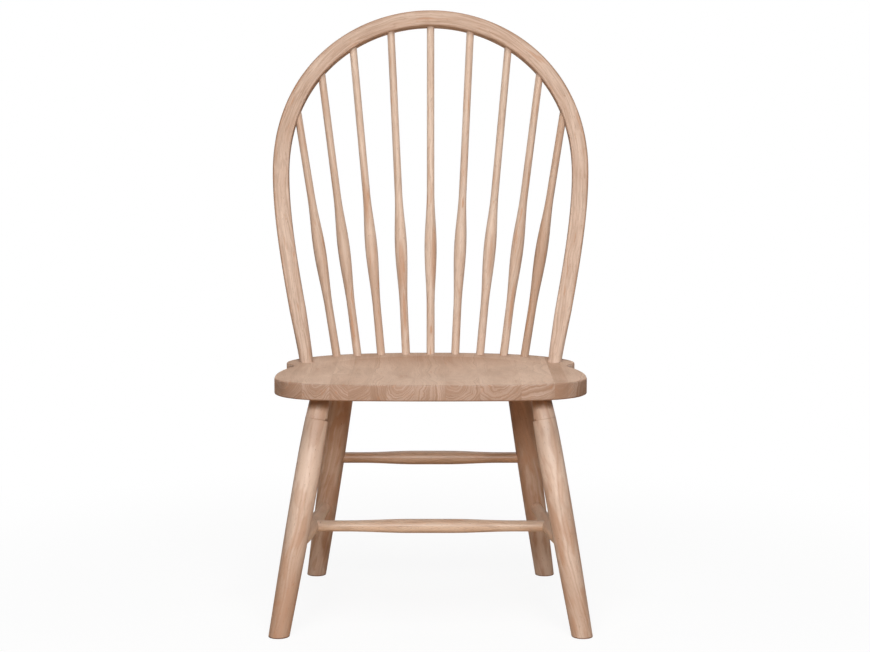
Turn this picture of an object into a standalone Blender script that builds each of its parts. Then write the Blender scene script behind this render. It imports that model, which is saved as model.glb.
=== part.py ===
"""Bow-back windsor side chair in bare hardwood, built from separate glued pieces.

Metres, +Z up. The chair faces -Y, and left is -X, as seen by someone facing the chair.
A ten-stave seat carries everything: four turned legs stand in blind sockets bored into its
underside, a bent bow and nine turned spindles stand in blind sockets bored into its top, and
three stretchers low down and one behind them tie the legs together.
"""

import math

import bmesh
import bpy
from mathutils import Matrix, Vector

# Room left round a piece that stands in another, and welding distances
GAP = 0.0003
WELD = 0.0001
FINE_WELD = 0.00001

# Seat board
SEAT_HEIGHT = 0.445
SEAT_THICKNESS = 0.0285
SEAT_WIDTH = 0.5496
SEAT_DEPTH = 0.436
SEAT_EDGE_ROUND = 0.0025

# Outline of its right half: shares of half the width, and of the depth back from the front
SEAT_FRONT_LOBE_SHARES = ((0.3639, 0.0050), (0.6295, 0.0172), (0.8588, 0.0688),
                          (0.9771, 0.1628), (1.0, 0.2706), (0.9836, 0.3991), (0.9451, 0.4954))
SEAT_WAIST_SHARES = ((0.9079, 0.5734),)
SEAT_REAR_LOBE_SHARES = ((0.9534, 0.6388), (0.9680, 0.6881), (0.9316, 0.7638),
                         (0.7798, 0.8750), (0.5582, 0.9507), (0.2129, 0.9943))

# Glue lines between the staves, left to right, as shares of half the width
STAVE_JOINT_SHARES = (-0.8079, -0.6310, -0.5138, -0.3748, -0.1033, 0.0946, 0.3086, 0.5670,
                      0.7787)

# Dish scooped out of the seat's top, inset from the board's sides, front and rear edge
DISH_DEEP = 0.0085
DISH_SIDE_INSET = 0.0698
DISH_FRONT_INSET = 0.030
DISH_REAR_INSET = 0.053
DISH_DEEPEST_SHARE = 0.524
DISH_LIP = 0.0006
DISH_RING_SHARES = (0.9, 0.78, 0.64, 0.48, 0.3, 0.12)

# Legs: insets of their tops from the board's sides and ends, and how far the feet stand out
FRONT_LEG_SIDE_INSET = 0.0828
FRONT_LEG_END_INSET = 0.100
FRONT_LEG_SPLAY = 0.0724
FRONT_LEG_RAKE = 0.0822
REAR_LEG_SIDE_INSET = 0.1138
REAR_LEG_END_INSET = 0.075
REAR_LEG_SPLAY = 0.0626
REAR_LEG_RAKE = 0.125
LEG_FOOT_RADIUS = 0.0182
LEG_BODY_RADIUS = 0.0220
LEG_FULLEST_SHARE = 0.8
LEG_FOOT_EXTRA = 0.012
LEG_FOOT_ROUND = 0.0015
NECK_LENGTH = 0.0467
NECK_FOOT_RADIUS = 0.0196
NECK_TOP_RADIUS = 0.0172
NECK_OFFSET = 0.0019
NECK_STRAIGHT = 0.008
NECK_ROOT = 0.003
LEG_TENON = 0.012

# Stretchers
SIDE_STRETCHER_HEIGHT = 0.1455
REAR_STRETCHER_HEIGHT = 0.2455
STRETCHER_END_RADIUS = 0.0102
STRETCHER_MIDDLE_RADIUS = 0.0130
SIDE_STRETCHER_RADIUS = 0.0142
STRETCHER_FLAT_SHARE = 0.17
STRETCHER_REACH_SHARE = 0.72
SIDE_STRETCHER_REACH_SHARE = 0.85
MIDDLE_STRETCHER_SHARE = 0.53
LEG_CORE = 0.0065
STRETCHER_CORE = 0.003

# Bow: its centre line lies in a plane that leans back from its two feet
BOW_FOOT_SIDE_INSET = 0.0452
BOW_FOOT_END_INSET = 0.136
BOW_LEAN = math.radians(15.0)
BOW_FOOT_SPLAY = math.radians(8.0)
BOW_WIDTH = 0.5606
BOW_WIDEST_AT = 0.3616
BOW_RISE = 0.6545
BOW_FOOT_PULL_SHARE = 0.2472
BOW_WIDEST_DOWN_PULL_SHARE = 0.3261
BOW_WIDEST_UP_PULL_SHARE = 0.6374
BOW_TOP_PULL_SHARE = 0.5052
BOW_FACE_WIDTH = 0.030
BOW_FACE_DEPTH = 0.025
BOW_CORNER = 0.0065
BOW_FOOT_RADIUS = 0.0125
BOW_ROUND_PART = 0.006
BOW_TAPER_PART = 0.090
BOW_TENON = 0.0155

# Spindles: the middle one's inset from the board's rear end, the feet's places as shares of
# half the board's width and of its depth, and the tips' as shares of half the bow's width
SPINDLE_END_INSET = 0.020
SPINDLE_FOOT_SHARES = ((0.0, 0.0), (0.1703, 0.0069), (0.3421, 0.0172), (0.5040, 0.0470),
                       (0.6448, 0.0835))
SPINDLE_TIP_SHARES = (0.0, 0.2704, 0.5280, 0.7413, 0.9040)
SPINDLE_FOOT_RADIUS = 0.0077
SPINDLE_TOP_RADIUS = 0.0070
SPINDLE_BULGE = 0.0042
SPINDLE_BULGE_HEIGHT = 0.203
SPINDLE_BULGE_BELOW_SHARE = 0.5665
SPINDLE_BULGE_ABOVE_SHARE = 0.5172
SPINDLE_TENON = 0.014
SPINDLE_TIP_BACK = 0.003

# Mesh detail
LEG_SIDES = 20
FOOT_ROUND_STEPS = 2
FOOT_ROUND_ANGLE = math.radians(50.0)
EDGE_ROUND_STEPS = 1
STRETCHER_SIDES = 16
SPINDLE_SIDES = 12
BOW_HOLE_SIDES = 24
DISH_SIDES = 40
OUTLINE_STEPS = 4
CORNER_STEPS = 3
BOW_LOWER_STEPS = 10
BOW_UPPER_STEPS = 12
LEG_RINGS = 7
STRETCHER_RINGS = 11
BULGE_RINGS = 9

# Colours of the bare wood in the photograph, with roughness
SEAT_WOOD = ((0.50, 0.33, 0.22, 1.0), 0.62)
LEG_WOOD = ((0.56, 0.37, 0.24, 1.0), 0.60)
STRETCHER_WOOD = ((0.52, 0.34, 0.22, 1.0), 0.60)
BOW_WOOD = ((0.58, 0.40, 0.27, 1.0), 0.60)
SPINDLE_WOOD = ((0.60, 0.41, 0.28, 1.0), 0.60)

UNDERSIDE = SEAT_HEIGHT - SEAT_THICKNESS
HALF_SEAT = 0.5 * SEAT_WIDTH
HALF_BOW = 0.5 * BOW_WIDTH
BOW_FOOT_SPREAD = HALF_SEAT - BOW_FOOT_SIDE_INSET
BULGE_BELOW = SPINDLE_BULGE_BELOW_SHARE * SPINDLE_BULGE_HEIGHT
BULGE_ABOVE = SPINDLE_BULGE_ABOVE_SHARE * SPINDLE_BULGE_HEIGHT


def clear_scene():
    for item in list(bpy.data.objects):
        bpy.data.objects.remove(item, do_unlink=True)


def new_collection(name):
    group = bpy.data.collections.new(name)
    bpy.context.scene.collection.children.link(group)
    return group


def wood(name, look):
    colour, roughness = look
    material = bpy.data.materials.new(name)
    material.use_nodes = True
    shader = material.node_tree.nodes["Principled BSDF"]
    shader.inputs["Base Color"].default_value = colour
    shader.inputs["Roughness"].default_value = roughness
    shader.inputs["Metallic"].default_value = 0.0
    material.diffuse_color = colour
    return material


def add_object(name, mesh, group, material=None):
    item = bpy.data.objects.new(name, mesh)
    item.parent = chair
    group.objects.link(item)
    if material:
        mesh.materials.append(material)
    if group is cutters:
        item.hide_render = True
        item.display_type = 'WIRE'
    return item


def stand_along(item, base, tip):
    """Put an upright shape's origin at base and point its Z axis at tip."""
    item.location = base
    item.rotation_mode = 'QUATERNION'
    item.rotation_quaternion = (tip - base).to_track_quat('Z', 'Y')


def turned(name, base, tip, outline, sides, group, material=None):
    """Turn an outline of (height, radius) pairs, top first, about the line from base to tip."""
    points = [(0.0, 0.0, outline[0][0])]
    points += [(radius, 0.0, height) for height, radius in outline]
    points.append((0.0, 0.0, outline[-1][0]))
    mesh = bpy.data.meshes.new(name)
    mesh.from_pydata(points, [(i, i + 1) for i in range(len(points) - 1)], [])
    item = add_object(name, mesh, group, material)
    stand_along(item, base, tip)
    screw = item.modifiers.new("turning", 'SCREW')
    screw.steps = sides
    screw.render_steps = sides
    screw.use_merge_vertices = True
    screw.merge_threshold = WELD
    return item


def combine(item, other, operation):
    boolean = item.modifiers.new(other.name, 'BOOLEAN')
    boolean.operation = operation
    boolean.solver = 'EXACT'
    boolean.object = other


def socket(name, mouth, bottom, radius, sides):
    """A round blind hole's cutter, from well outside the mouth to just past the bottom."""
    reach = (bottom - mouth).length
    outline = ((reach + GAP, radius + GAP), (-reach, radius + GAP))
    return turned(name, mouth, bottom, outline, sides, cutters)


def hump(distance, flat, reach):
    """1 up to flat, 0 from reach outwards, and a smooth shoulder between."""
    share = min(max((abs(distance) - flat) / (reach - flat), 0.0), 1.0)
    return math.cos(0.5 * math.pi * share) ** 2


def seat_outline():
    """The board's outline, anticlockwise from the middle of its front edge."""
    shares = SEAT_FRONT_LOBE_SHARES + SEAT_WAIST_SHARES + SEAT_REAR_LOBE_SHARES
    half = [(HALF_SEAT * across, SEAT_DEPTH * back) for across, back in shares]
    other_half = [(-x, y) for x, y in reversed(half)]
    return [(0.0, 0.0), *half, (0.0, SEAT_DEPTH), *other_half]


def seat_blank():
    """The glued board before it is cut into its staves: outline, rounded rims and dish."""
    curve = bpy.data.curves.new("seat_outline", 'CURVE')
    curve.dimensions = '2D'
    curve.fill_mode = 'BOTH'
    curve.resolution_u = OUTLINE_STEPS
    curve.extrude = 0.5 * SEAT_THICKNESS - SEAT_EDGE_ROUND
    curve.bevel_depth = SEAT_EDGE_ROUND
    curve.bevel_resolution = EDGE_ROUND_STEPS
    curve.offset = -SEAT_EDGE_ROUND
    outline = seat_outline()
    spline = curve.splines.new('BEZIER')
    spline.bezier_points.add(len(outline) - 1)
    spline.use_cyclic_u = True
    for point, (x, y) in zip(spline.bezier_points, outline):
        point.co = (x, y, 0.0)
        point.handle_left_type = 'AUTO'
        point.handle_right_type = 'AUTO'
    flat_board = add_object("seat_outline", curve, cutters)
    flat_board.location.z = SEAT_HEIGHT - 0.5 * SEAT_THICKNESS
    blank = baked("seat_blank", flat_board)
    bpy.data.objects.remove(flat_board)
    combine(blank, dish_cutter(), 'DIFFERENCE')
    return blank


def baked(name, source):
    """A plain welded mesh object in place of a curve or a stack of modifiers."""
    bpy.context.view_layer.update()
    evaluated = source.evaluated_get(bpy.context.evaluated_depsgraph_get())
    mesh = bpy.data.meshes.new_from_object(evaluated)
    mesh.transform(source.matrix_world)
    shape = bmesh.new()
    shape.from_mesh(mesh)
    bmesh.ops.remove_doubles(shape, verts=shape.verts, dist=FINE_WELD)
    bmesh.ops.recalc_face_normals(shape, faces=shape.faces)
    shape.to_mesh(mesh)
    shape.free()
    return add_object(name, mesh, cutters)


def dish_cutter():
    """A shallow turned bowl, stretched to the dish's width and its front and rear reach."""
    length = SEAT_DEPTH - DISH_FRONT_INSET - DISH_REAR_INSET
    front_reach = DISH_DEEPEST_SHARE * length
    rear_reach = length - front_reach
    rim = [(DISH_DEEP + DISH_LIP, 1.0), (DISH_LIP, 1.0)]
    rings = [(-DISH_DEEP * (1.0 - share ** 2) ** 2, share) for share in DISH_RING_SHARES]
    middle = Vector((0.0, DISH_FRONT_INSET + front_reach, SEAT_HEIGHT))
    above = middle + Vector((0.0, 0.0, SEAT_HEIGHT))
    bowl = turned("dish_bowl", middle, above, rim + rings, DISH_SIDES, cutters)
    dish = baked("dish", bowl)
    bpy.data.objects.remove(bowl)
    for vertex in dish.data.vertices:
        vertex.co.x *= HALF_SEAT - DISH_SIDE_INSET
        behind = vertex.co.y - middle.y
        vertex.co.y = middle.y + behind * (rear_reach if behind > 0 else front_reach)
    return dish


def cut_side(shape, x, direction):
    """Saw the board at x, keep the part that lies against direction, and close the sawn face."""
    geometry = shape.verts[:] + shape.edges[:] + shape.faces[:]
    cut = bmesh.ops.bisect_plane(shape, geom=geometry, plane_co=(x, 0, 0),
                                 plane_no=(direction, 0, 0), clear_outer=True)
    rim = [edge for edge in cut["geom_cut"] if isinstance(edge, bmesh.types.BMEdge)]
    for edge in rim:
        for vertex in edge.verts:
            vertex.co.x = x
    bmesh.ops.contextual_create(shape, geom=rim)


def build_seat():
    """Ten staves sawn from one blank, so that their glued faces match exactly."""
    whole = baked("seat_whole", seat_blank())
    joints = [HALF_SEAT * share for share in STAVE_JOINT_SHARES]
    limits = (-math.inf, *joints, math.inf)
    staves = []
    for number, (left, right) in enumerate(zip(limits, limits[1:]), start=1):
        name = f"seat_stave_{number:02d}"
        shape = bmesh.new()
        shape.from_mesh(whole.data)
        if left > -math.inf:
            cut_side(shape, left, -1)
        if right < math.inf:
            cut_side(shape, right, 1)
        bmesh.ops.recalc_face_normals(shape, faces=shape.faces)
        mesh = bpy.data.meshes.new(name)
        shape.to_mesh(mesh)
        shape.free()
        stave = add_object(name, mesh, parts, wood(name, SEAT_WOOD))
        staves.append((stave, (left, right)))
    return staves


def bore_seat(staves, hole, x, reach):
    """Bore a hole near x into each stave that it touches."""
    for stave, (left, right) in staves:
        if left < x + reach and right > x - reach:
            combine(stave, hole, 'DIFFERENCE')


def front_leg_line(side):
    """A front leg's axis, from the floor to the seat's underside."""
    top = Vector((side * (HALF_SEAT - FRONT_LEG_SIDE_INSET), FRONT_LEG_END_INSET, UNDERSIDE))
    return top + Vector((side * FRONT_LEG_SPLAY, -FRONT_LEG_RAKE, -UNDERSIDE)), top


def rear_leg_line(side):
    """A rear leg's axis, from the floor to the seat's underside."""
    top = Vector((side * (HALF_SEAT - REAR_LEG_SIDE_INSET), SEAT_DEPTH - REAR_LEG_END_INSET,
                  UNDERSIDE))
    return top + Vector((side * REAR_LEG_SPLAY, REAR_LEG_RAKE, -UNDERSIDE)), top


def point_at_height(line, height):
    foot, top = line
    return foot.lerp(top, (height - foot.z) / (top.z - foot.z))


def build_leg(name, line, side, floor):
    foot, top = line
    length = (top - foot).length
    shoulder = length - NECK_LENGTH
    outline = []
    for ring in range(LEG_RINGS):
        height = shoulder * (1.0 - ring / LEG_RINGS)
        share = min(height / (LEG_FULLEST_SHARE * shoulder), 1.0)
        swell = math.sin(0.5 * math.pi * share)
        outline.append((height, LEG_FOOT_RADIUS + (LEG_BODY_RADIUS - LEG_FOOT_RADIUS) * swell))
    outline.append((-LEG_FOOT_EXTRA, LEG_FOOT_RADIUS))
    leg = turned(name, foot, top, outline, LEG_SIDES, parts, wood(name, LEG_WOOD))
    combine(leg, floor, 'DIFFERENCE')
    bevel = leg.modifiers.new("foot_round", 'BEVEL')
    bevel.width = LEG_FOOT_ROUND
    bevel.segments = FOOT_ROUND_STEPS
    bevel.limit_method = 'ANGLE'
    bevel.angle_limit = FOOT_ROUND_ANGLE
    outward = Vector((side * NECK_OFFSET, 0.0, 0.0))
    neck_outline = ((length + LEG_TENON, NECK_TOP_RADIUS), (length - NECK_STRAIGHT, NECK_TOP_RADIUS),
                    (shoulder, NECK_FOOT_RADIUS), (shoulder - NECK_ROOT, NECK_FOOT_RADIUS))
    neck = turned(name + "_neck", foot + outward, top + outward, neck_outline, LEG_SIDES, cutters)
    combine(leg, neck, 'UNION')
    return leg


def leg_socket(name, line, side):
    foot, top = line
    outward = Vector((side * NECK_OFFSET, 0.0, 0.0))
    bottom = top + (top - foot).normalized() * LEG_TENON
    return socket(name, top + outward, bottom + outward, NECK_TOP_RADIUS, LEG_SIDES)


def build_stretcher(name, start, end, core, middle_radius, reach_share):
    """A barrel-shaped stretcher between two axes that stops short of both by the core."""
    along = (end - start).normalized()
    base = start + along * core
    tip = end - along * core
    length = (tip - base).length
    half = 0.5 * length
    outline = [(length, STRETCHER_END_RADIUS)]
    for ring in range(STRETCHER_RINGS):
        offset = reach_share * half * (1.0 - 2.0 * ring / (STRETCHER_RINGS - 1))
        swell = hump(offset, STRETCHER_FLAT_SHARE * half, reach_share * half)
        radius = STRETCHER_END_RADIUS + (middle_radius - STRETCHER_END_RADIUS) * swell
        outline.append((half + offset, radius))
    outline.append((0.0, STRETCHER_END_RADIUS))
    return turned(name, base, tip, outline, STRETCHER_SIDES, parts, wood(name, STRETCHER_WOOD))


def stretcher_socket(name, axis_point, other_end, core, reach):
    """A blind hole for a stretcher's end, bored into a round piece toward its axis."""
    along = (axis_point - other_end).normalized()
    bottom = axis_point - along * core
    return socket(name, bottom - along * reach, bottom, STRETCHER_END_RADIUS, STRETCHER_SIDES)


def bow_frame():
    """From the bow's own plane (x across, z up the plane) to the chair."""
    lean = Matrix.Rotation(-BOW_LEAN, 4, 'X')
    return Matrix.Translation((0.0, SEAT_DEPTH - BOW_FOOT_END_INSET, SEAT_HEIGHT)) @ lean


def bezier(points, share):
    rest = 1.0 - share
    weights = (rest ** 3, 3 * rest ** 2 * share, 3 * rest * share ** 2, share ** 3)
    return sum((point * weight for point, weight in zip(points, weights)), Vector((0, 0, 0)))


def bow_half_line():
    """Centre line of the right half, in the bow's plane, from its foot to its top."""
    foot = Vector((BOW_FOOT_SPREAD, 0.0, 0.0))
    foot_direction = Vector((math.sin(BOW_FOOT_SPLAY), 0.0, math.cos(BOW_FOOT_SPLAY)))
    widest = Vector((HALF_BOW, 0.0, BOW_WIDEST_AT))
    top = Vector((0.0, 0.0, BOW_RISE))
    upper_rise = BOW_RISE - BOW_WIDEST_AT
    lower = (foot, foot + foot_direction * BOW_FOOT_PULL_SHARE * BOW_WIDEST_AT,
             widest - Vector((0, 0, BOW_WIDEST_DOWN_PULL_SHARE * BOW_WIDEST_AT)), widest)
    upper = (widest, widest + Vector((0, 0, BOW_WIDEST_UP_PULL_SHARE * upper_rise)),
             top + Vector((BOW_TOP_PULL_SHARE * HALF_BOW, 0, 0)), top)
    line = [foot - foot_direction * BOW_TENON, foot, foot + foot_direction * BOW_ROUND_PART]
    line += [bezier(lower, step / BOW_LOWER_STEPS) for step in range(1, BOW_LOWER_STEPS + 1)]
    line += [bezier(upper, step / BOW_UPPER_STEPS) for step in range(1, BOW_UPPER_STEPS + 1)]
    return line


def bow_section(height):
    """Corner-rounded section at a height up the bow's plane, which is round near the foot."""
    share = min(max((height - BOW_ROUND_PART) / BOW_TAPER_PART, 0.0), 1.0)
    half_width = BOW_FOOT_RADIUS + (0.5 * BOW_FACE_WIDTH - BOW_FOOT_RADIUS) * share
    half_depth = BOW_FOOT_RADIUS + (0.5 * BOW_FACE_DEPTH - BOW_FOOT_RADIUS) * share
    corner = BOW_FOOT_RADIUS + (BOW_CORNER - BOW_FOOT_RADIUS) * share
    points = []
    for quarter in range(4):
        for step in range(CORNER_STEPS):
            angle = 0.5 * math.pi * (quarter + (step + 0.5) / CORNER_STEPS)
            side = math.copysign(1.0, math.cos(angle))
            front = math.copysign(1.0, math.sin(angle))
            points.append((side * (half_width - corner) + corner * math.cos(angle),
                           front * (half_depth - corner) + corner * math.sin(angle)))
    return points


def build_bow():
    """The bent bow: a loft from round feet to a corner-rounded bar, along its centre line."""
    right = bow_half_line()
    line = right + [Vector((-point.x, 0.0, point.z)) for point in reversed(right[:-1])]
    shape = bmesh.new()
    rings = []
    for index, centre in enumerate(line):
        ahead = line[min(index + 1, len(line) - 1)]
        behind = line[max(index - 1, 0)]
        along = (ahead - behind).normalized()
        outward = Vector((along.z, 0.0, -along.x))
        ring = [shape.verts.new(centre + outward * across + Vector((0, depth, 0)))
                for across, depth in bow_section(centre.z)]
        rings.append(ring)
    for ring, following in zip(rings, rings[1:]):
        for corner in range(len(ring)):
            beside = (corner + 1) % len(ring)
            shape.faces.new((ring[corner], ring[beside], following[beside], following[corner]))
    shape.faces.new(rings[0])
    shape.faces.new(rings[-1])
    bmesh.ops.recalc_face_normals(shape, faces=shape.faces)
    mesh = bpy.data.meshes.new("bow")
    shape.to_mesh(mesh)
    shape.free()
    mesh.transform(bow_frame())
    mesh.shade_smooth()
    return add_object("bow", mesh, parts, wood("bow", BOW_WOOD))


def bow_foot_socket(side):
    down = Vector((side * math.sin(BOW_FOOT_SPLAY), 0.0, math.cos(BOW_FOOT_SPLAY))) * -BOW_TENON
    mouth = Vector((side * BOW_FOOT_SPREAD, 0.0, 0.0))
    name = "bow_foot_hole_" + ("right" if side > 0 else "left")
    frame = bow_frame()
    return socket(name, frame @ mouth, frame @ (mouth + down), BOW_FOOT_RADIUS,
                  BOW_HOLE_SIDES)


def bow_point_at(spread):
    """The point on the bow's upper centre line that lies at this distance from its middle."""
    line = bow_half_line()[-BOW_UPPER_STEPS - 1:]
    for outer, inner in zip(line, line[1:]):
        if inner.x <= spread <= outer.x:
            share = (outer.x - spread) / (outer.x - inner.x)
            return bow_frame() @ outer.lerp(inner, share)
    return bow_frame() @ line[0]


def spindle_radius(height):
    """Slightly thinner toward the top, with one bulge a third of the way up."""
    reach = BULGE_ABOVE if height > SPINDLE_BULGE_HEIGHT else BULGE_BELOW
    taper = min(max(height / (2 * SPINDLE_BULGE_HEIGHT), 0.0), 1.0)
    plain = SPINDLE_FOOT_RADIUS + (SPINDLE_TOP_RADIUS - SPINDLE_FOOT_RADIUS) * taper
    return plain + SPINDLE_BULGE * hump(height - SPINDLE_BULGE_HEIGHT, 0.0, reach)


def build_spindle(name, foot, meeting):
    """A spindle from its socket in the seat to just short of the bow's centre line."""
    along = (meeting - foot).normalized()
    base = foot - along * SPINDLE_TENON
    tip = meeting - along * SPINDLE_TIP_BACK
    length = (tip - foot).length
    low = SPINDLE_BULGE_HEIGHT - BULGE_BELOW
    high = SPINDLE_BULGE_HEIGHT + BULGE_ABOVE
    heights = [0.0]
    heights += [low + (high - low) * ring / BULGE_RINGS for ring in range(BULGE_RINGS + 1)]
    heights += [2 * SPINDLE_BULGE_HEIGHT, length]
    outline = [(height + SPINDLE_TENON, spindle_radius(height)) for height in reversed(heights)]
    outline.append((0.0, SPINDLE_FOOT_RADIUS))
    return turned(name, base, tip, outline, SPINDLE_SIDES, parts, wood(name, SPINDLE_WOOD))


def build_spindles(staves, bow):
    count = 2 * len(SPINDLE_FOOT_SHARES) - 1
    row_y = SEAT_DEPTH - SPINDLE_END_INSET
    for number in range(1, count + 1):
        step = number - len(SPINDLE_FOOT_SHARES)
        side = -1 if step < 0 else 1
        across, forward = SPINDLE_FOOT_SHARES[abs(step)]
        foot = Vector((side * across * HALF_SEAT, row_y - forward * SEAT_DEPTH, SEAT_HEIGHT))
        meeting = bow_point_at(SPINDLE_TIP_SHARES[abs(step)] * HALF_BOW)
        meeting.x *= side
        build_spindle(f"spindle_{number}", foot, meeting)
        along = (meeting - foot).normalized()
        seat_hole = socket(f"spindle_{number}_foot_hole", foot, foot - along * SPINDLE_TENON,
                           SPINDLE_FOOT_RADIUS, SPINDLE_SIDES)
        bore_seat(staves, seat_hole, foot.x, 2 * SPINDLE_FOOT_RADIUS)
        bow_mouth = meeting - along * 2 * BOW_FACE_WIDTH
        bow_hole = socket(f"spindle_{number}_tip_hole", bow_mouth,
                          meeting - along * SPINDLE_TIP_BACK, SPINDLE_TOP_RADIUS, SPINDLE_SIDES)
        combine(bow, bow_hole, 'DIFFERENCE')


def floor_block():
    """A block under the whole chair, which saws the legs' feet off level."""
    size = 2 * (SEAT_WIDTH + SEAT_DEPTH)
    bpy.ops.mesh.primitive_cube_add(size=size)
    block = bpy.context.object
    block.name = "floor_block"
    for group in block.users_collection:
        group.objects.unlink(block)
    cutters.objects.link(block)
    block.parent = chair
    for vertex in block.data.vertices:
        vertex.co.z -= 0.5 * size
    block.location.y = 0.5 * SEAT_DEPTH
    block.hide_render = True
    block.display_type = 'WIRE'
    return block


def build_base(staves):
    """Legs, the stretchers between them, and the holes that carry all of them."""
    floor = floor_block()
    middle_ends = []
    rear_ends = []
    for side, word in ((-1, "left"), (1, "right")):
        front_line = front_leg_line(side)
        rear_line = rear_leg_line(side)
        front_leg = build_leg(f"leg_front_{word}", front_line, side, floor)
        rear_leg = build_leg(f"leg_rear_{word}", rear_line, side, floor)
        for line, place in ((front_line, "front"), (rear_line, "rear")):
            hole = leg_socket(f"leg_{place}_{word}_hole", line, side)
            bore_seat(staves, hole, line[1].x, 2 * NECK_TOP_RADIUS)
        front_end = point_at_height(front_line, SIDE_STRETCHER_HEIGHT)
        rear_end = point_at_height(rear_line, SIDE_STRETCHER_HEIGHT)
        side_stretcher = build_stretcher(f"stretcher_{word}", front_end, rear_end, LEG_CORE,
                                         SIDE_STRETCHER_RADIUS, SIDE_STRETCHER_REACH_SHARE)
        reach = 2 * LEG_BODY_RADIUS
        combine(front_leg, stretcher_socket(f"stretcher_{word}_front_hole", front_end, rear_end,
                                            LEG_CORE, reach), 'DIFFERENCE')
        combine(rear_leg, stretcher_socket(f"stretcher_{word}_rear_hole", rear_end, front_end,
                                           LEG_CORE, reach), 'DIFFERENCE')
        middle_ends.append((side_stretcher, front_end.lerp(rear_end, MIDDLE_STRETCHER_SHARE)))
        rear_ends.append((rear_leg, point_at_height(rear_line, REAR_STRETCHER_HEIGHT)))
    tie("stretcher_middle", middle_ends, STRETCHER_CORE)
    tie("stretcher_rear", rear_ends, LEG_CORE)


def tie(name, ends, core):
    """A cross stretcher between a left and a right piece, and its holes in both."""
    (left_piece, left_point), (right_piece, right_point) = ends
    build_stretcher(name, left_point, right_point, core, STRETCHER_MIDDLE_RADIUS,
                    STRETCHER_REACH_SHARE)
    reach = 2 * LEG_BODY_RADIUS
    left_hole = stretcher_socket(name + "_left_hole", left_point, right_point, core, reach)
    right_hole = stretcher_socket(name + "_right_hole", right_point, left_point, core, reach)
    combine(left_piece, left_hole, 'DIFFERENCE')
    combine(right_piece, right_hole, 'DIFFERENCE')


def centre_on_floor():
    """Slide the chair so that its box is centred on the origin, front to back."""
    bpy.context.view_layer.update()
    graph = bpy.context.evaluated_depsgraph_get()
    depths = []
    for item in parts.objects:
        shape = item.evaluated_get(graph)
        depths += [(shape.matrix_world @ vertex.co).y for vertex in shape.data.vertices]
    chair.location.y = -0.5 * (min(depths) + max(depths))


clear_scene()
parts = new_collection("windsor_chair")
cutters = new_collection("cutters")
chair = bpy.data.objects.new("chair_origin", None)
bpy.context.scene.collection.objects.link(chair)
seat_staves = build_seat()
build_base(seat_staves)
bent_bow = build_bow()
for bow_side in (-1, 1):
    bore_seat(seat_staves, bow_foot_socket(bow_side), bow_side * BOW_FOOT_SPREAD,
              2 * BOW_FOOT_RADIUS)
build_spindles(seat_staves, bent_bow)
centre_on_floor()
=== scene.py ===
# Bow-back windsor side chair in bare pale hardwood: the looks of its 28 wooden pieces.
# Metres, +Z up. The chair faces -Y, and left is -X, as seen by someone facing the chair.
# Each piece is drawn with Y measured back from the seat's front edge, then slid into the frame.

import math

import bmesh
import bpy
from mathutils import Matrix, Vector, kdtree


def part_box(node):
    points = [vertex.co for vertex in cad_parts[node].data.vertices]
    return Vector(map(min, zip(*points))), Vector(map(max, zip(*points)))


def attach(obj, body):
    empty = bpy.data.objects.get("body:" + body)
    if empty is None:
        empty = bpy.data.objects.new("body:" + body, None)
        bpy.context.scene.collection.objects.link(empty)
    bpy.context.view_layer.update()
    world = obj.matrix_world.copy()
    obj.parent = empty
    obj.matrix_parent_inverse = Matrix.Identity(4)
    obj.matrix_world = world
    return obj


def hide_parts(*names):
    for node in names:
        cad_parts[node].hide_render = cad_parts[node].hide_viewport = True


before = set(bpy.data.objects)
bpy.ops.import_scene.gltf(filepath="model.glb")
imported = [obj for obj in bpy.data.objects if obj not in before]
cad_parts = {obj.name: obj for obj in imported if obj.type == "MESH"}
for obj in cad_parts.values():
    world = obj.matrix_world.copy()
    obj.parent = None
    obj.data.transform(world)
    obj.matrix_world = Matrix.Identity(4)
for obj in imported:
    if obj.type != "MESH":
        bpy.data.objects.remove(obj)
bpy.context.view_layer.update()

BODY = "root"
SEAT_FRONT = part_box("seat_stave_06")[0].y
IN_PLACE = Matrix.Translation((0.0, SEAT_FRONT, 0.0))

# Room left round a piece that stands in another
GAP = 0.0003

# Seat board
SEAT_HEIGHT = 0.445
SEAT_THICKNESS = 0.0285
HALF_SEAT = 0.2748
SEAT_DEPTH = 0.436
SEAT_EDGE_ROUND = 0.0025
UNDERSIDE = SEAT_HEIGHT - SEAT_THICKNESS

# Outline of its right half: shares of half the width, and of the depth back from the front
SEAT_SHARES = ((0.3639, 0.0050), (0.6295, 0.0172), (0.8588, 0.0688), (0.9771, 0.1628),
               (1.0, 0.2706), (0.9836, 0.3991), (0.9451, 0.4954), (0.9079, 0.5734),
               (0.9534, 0.6388), (0.9680, 0.6881), (0.9316, 0.7638), (0.7798, 0.8750),
               (0.5582, 0.9507), (0.2129, 0.9943))
STAVE_JOINT_SHARES = (-0.8079, -0.6310, -0.5138, -0.3748, -0.1033, 0.0946, 0.3086, 0.5670,
                      0.7787)

# Dish scooped out of the seat's top
DISH_DEEP = 0.0085
DISH_HALF_WIDTH = 0.205
DISH_MIDDLE = 0.215
DISH_FRONT_REACH = 0.185
DISH_REAR_REACH = 0.168
# Its wall slopes softly in front and turns crisp toward the rear, wholly so from this turn on
CRISP_TURN, CRISP_POWER = 0.6, 2.4

# Legs: where their axes meet the underside, and how far the feet stand out from there
FRONT_LEG_TOP = (0.1920, 0.100)
FRONT_LEG_SPREAD = (0.0724, -0.0822)
REAR_LEG_TOP = (0.1610, 0.361)
REAR_LEG_SPREAD = (0.0626, 0.125)
LEG_FOOT_RADIUS = 0.0182
LEG_BODY_RADIUS = 0.0220
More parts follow.
